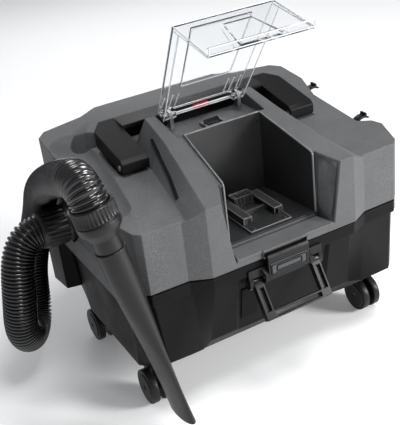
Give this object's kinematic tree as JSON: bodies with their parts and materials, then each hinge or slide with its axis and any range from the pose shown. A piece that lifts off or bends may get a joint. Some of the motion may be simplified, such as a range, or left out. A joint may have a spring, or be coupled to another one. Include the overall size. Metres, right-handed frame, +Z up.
{
  "type": "shop vacuum",
  "caption": "Compact cordless wet and dry vacuum: dust tub on casters, motor head with open battery bay, clear lid, folding handle, latch and corrugated hose with crevice nozzle.",
  "frame": {"origin": "on the floor under the middle of the body, hose and nozzle left out", "axes": "+Z up, -Y towards the latch at the front, +X to the right when facing the rear"},
  "size_m": [0.5555, 0.3964, 0.4937],
  "materials": {
    "tub_black": "fine texture, satin",
    "housing_grey": "sand-textured matte",
    "bay_grey": "smooth satin",
    "seal_rubber": "matte",
    "rail_plastic": "satin",
    "contact_metal": "plated",
    "screw_steel": "zinc",
    "clear_plastic": "clear polished",
    "red_label": "printed",
    "grip_black": "satin",
    "pin_steel": "drawn",
    "latch_black": "semi-gloss",
    "latch_grey": "satin",
    "label_black": "gloss",
    "switch_black": "satin",
    "board_green": "solder mask",
    "motor_metal": "drawn can",
    "inner_plastic": "satin",
    "filter_paper": "pleated",
    "clip_black": "satin",
    "hose_black": "semi-gloss",
    "tool_black": "fine texture",
    "wheel_black": "satin",
    "caster_black": "satin",
    "axle_steel": "drawn"
  },
  "bodies": {
    "vacuum_body": {"bail_pins": "pin_steel", "battery_base_plate": "bay_grey", "battery_bay": "bay_grey", "battery_rails": "rail_plastic", "bay_screws": "screw_steel", "bay_sill_strike": "housing_grey", "blower_port": "inner_plastic", "cartridge_filter": "filter_paper", "control_board": "board_green", "crevice_nozzle": "tool_black", "dust_tub": "tub_black", "fan_cover": "inner_plastic", "filter_cage": "inner_plastic", "filter_end_cap": "inner_plastic", "front_label_plate": "label_black", "handle_pin_left": "pin_steel", "handle_pin_right": "pin_steel", "head_housing": "housing_grey", "hose_cuff_inlet": "tool_black", "hose_cuff_tool": "tool_black", "inlet_elbow": "inner_plastic", "inlet_port": "inner_plastic", "latch_bracket": "latch_black", "latch_pin": "pin_steel", "lid_hinge_pin_left": "pin_steel", "lid_hinge_pin_right": "pin_steel", "motor_can": "motor_metal", "motor_plate": "inner_plastic", "nozzle_adapter": "tool_black", "plate_screws": "screw_steel", "switch_frame": "rail_plastic", "terminal_block": "rail_plastic", "terminal_contacts": "contact_metal", "tool_clip_front": "clip_black", "tool_clip_rear": "clip_black", "tool_holders": "tub_black", "tub_seal": "seal_rubber", "vacuum_hose": "hose_black"},
    "lid": {"clear_lid": "clear_plastic", "lid_label": "red_label"},
    "carry_handle": {"carry_handle": "grip_black"},
    "latch": {"latch_lever": "latch_black", "latch_inlay": "latch_grey"},
    "pull_bail": {"pull_bail": "latch_black"},
    "power_rocker": {"power_rocker": "switch_black"},
    "fan": {"fan_impeller": "inner_plastic", "motor_shaft": "pin_steel"},
    "float": {"float_ball": "inner_plastic"},
    "caster_front_left": {"caster_fork_front_left": "caster_black"},
    "wheels_front_left": {"caster_wheels_front_left": "wheel_black", "caster_axle_front_left": "axle_steel"},
    "caster_front_right": {"caster_fork_front_right": "caster_black"},
    "wheels_front_right": {"caster_wheels_front_right": "wheel_black", "caster_axle_front_right": "axle_steel"},
    "caster_rear_left": {"caster_fork_rear_left": "caster_black"},
    "wheels_rear_left": {"caster_wheels_rear_left": "wheel_black", "caster_axle_rear_left": "axle_steel"},
    "caster_rear_right": {"caster_fork_rear_right": "caster_black"},
    "wheels_rear_right": {"caster_wheels_rear_right": "wheel_black", "caster_axle_rear_right": "axle_steel"}
  },
  "joints": [
    {"name": "lid_hinge", "type": "hinge", "parent": "vacuum_body", "child": "lid", "pos_m": [0, 0.0203, 0.352], "axis": [1, 0, 0], "range_deg": [0, 68]},
    {"name": "carry_handle_hinge", "type": "hinge", "parent": "vacuum_body", "child": "carry_handle", "pos_m": [0, -0.0157, 0.316], "axis": [1, 0, 0], "range_deg": [0, 26]},
    {"name": "latch_hinge", "type": "hinge", "parent": "vacuum_body", "child": "latch", "pos_m": [0, -0.1697, 0.1815], "axis": [1, 0, 0], "range_deg": [0, 75]},
    {"name": "pull_bail_hinge", "type": "hinge", "parent": "vacuum_body", "child": "pull_bail", "pos_m": [0, -0.1622, 0.174], "axis": [1, 0, 0], "range_deg": [-60, 24]},
    {"name": "power_rocker_tilt", "type": "hinge", "parent": "vacuum_body", "child": "power_rocker", "pos_m": [0, -0.0012, 0.3286], "axis": [1, 0, 0], "range_deg": [0, 12]},
    {"name": "fan_spin", "type": "hinge", "parent": "vacuum_body", "child": "fan", "pos_m": [0, 0.0823, 0.23], "axis": [0, 0, 1], "continuous": true},
    {"name": "float_slide", "type": "slide", "parent": "vacuum_body", "child": "float", "axis": [0, 0, 1], "range_m": [0, 0.012]},
    {"name": "swivel_front_left", "type": "hinge", "parent": "vacuum_body", "child": "caster_front_left", "pos_m": [-0.179, -0.0697, 0.056], "axis": [0, 0, 1], "continuous": true},
    {"name": "spin_front_left", "type": "hinge", "parent": "caster_front_left", "child": "wheels_front_left", "pos_m": [-0.179, -0.0867, 0.025], "axis": [1, 0, 0], "continuous": true},
    {"name": "swivel_front_right", "type": "hinge", "parent": "vacuum_body", "child": "caster_front_right", "pos_m": [0.179, -0.0697, 0.056], "axis": [0, 0, 1], "continuous": true},
    {"name": "spin_front_right", "type": "hinge", "parent": "caster_front_right", "child": "wheels_front_right", "pos_m": [0.179, -0.0867, 0.025], "axis": [1, 0, 0], "continuous": true},
    {"name": "swivel_rear_left", "type": "hinge", "parent": "vacuum_body", "child": "caster_rear_left", "pos_m": [-0.179, 0.1123, 0.056], "axis": [0, 0, 1], "continuous": true},
    {"name": "spin_rear_left", "type": "hinge", "parent": "caster_rear_left", "child": "wheels_rear_left", "pos_m": [-0.179, 0.0953, 0.025], "axis": [1, 0, 0], "continuous": true},
    {"name": "swivel_rear_right", "type": "hinge", "parent": "vacuum_body", "child": "caster_rear_right", "pos_m": [0.179, 0.1123, 0.056], "axis": [0, 0, 1], "continuous": true},
    {"name": "spin_rear_right", "type": "hinge", "parent": "caster_rear_right", "child": "wheels_rear_right", "pos_m": [0.179, 0.0953, 0.025], "axis": [1, 0, 0], "continuous": true}
  ]
}
